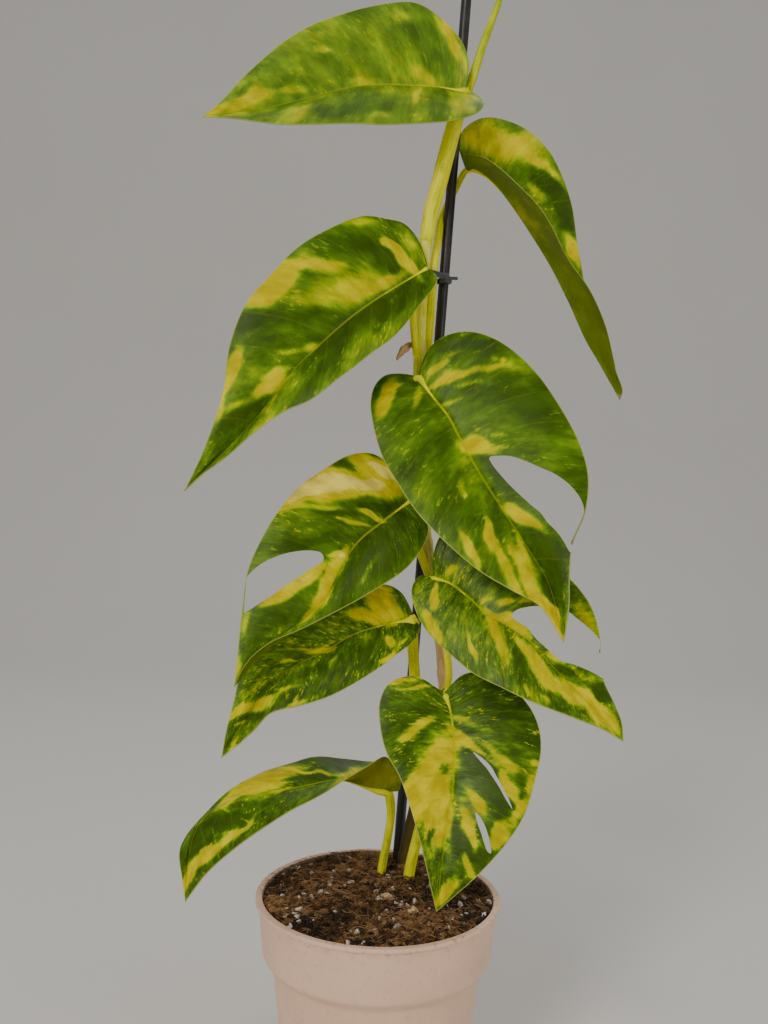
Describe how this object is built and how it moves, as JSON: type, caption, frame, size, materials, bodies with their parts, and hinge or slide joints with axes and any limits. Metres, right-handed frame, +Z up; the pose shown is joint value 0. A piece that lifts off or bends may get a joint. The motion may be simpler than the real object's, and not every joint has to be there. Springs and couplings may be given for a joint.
{
  "type": "potted sunburst pothos",
  "caption": "Climbing aroid house plant with large yellow-splashed green heart leaves, some split, tied to a slim stake in a grey nursery pot filled with potting mix.",
  "frame": {"origin": "centre of the pot's foot, on the surface it stands on", "axes": "+Z up the plant, -Y towards the side most leaves face, +X to the right seen from there"},
  "size_m": [0.2161, 0.12, 0.5819],
  "materials": {
    "pot_plastic": "matte moulded polypropylene, taupe grey",
    "potting_mix": "moist fibrous peat and coir with white perlite grains",
    "stake_plastic": "smooth black plastic",
    "tie_plastic": "satin dark grey nylon",
    "stem_tissue": "yellow-green above, tan and woody below",
    "stalk_tissue": "smooth waxy yellow-green",
    "root_tissue": "dry tan",
    "leaf_tissue": "waxy semi-gloss leaf, dark green splashed with lime and yellow"
  },
  "bodies": {
    "root": {"pot": "pot_plastic", "potting_mix": "potting_mix", "stake": "stake_plastic", "stake_tie": "tie_plastic", "main_stem": "stem_tissue", "aerial_root": "root_tissue", "new_leaf_spear": "stalk_tissue", "leaf_1_blade": "leaf_tissue", "leaf_1_petiole": "stalk_tissue", "leaf_2_blade": "leaf_tissue", "leaf_2_petiole": "stalk_tissue", "leaf_3_blade": "leaf_tissue", "leaf_3_petiole": "stalk_tissue", "leaf_4_blade": "leaf_tissue", "leaf_4_petiole": "stalk_tissue", "leaf_5_blade": "leaf_tissue", "leaf_5_petiole": "stalk_tissue", "leaf_6_blade": "leaf_tissue", "leaf_6_petiole": "stalk_tissue", "leaf_7_blade": "leaf_tissue", "leaf_7_petiole": "stalk_tissue", "leaf_8_blade": "leaf_tissue", "leaf_8_petiole": "stalk_tissue", "leaf_9_blade": "leaf_tissue", "leaf_9_petiole": "stalk_tissue"}
  },
  "joints": []
}
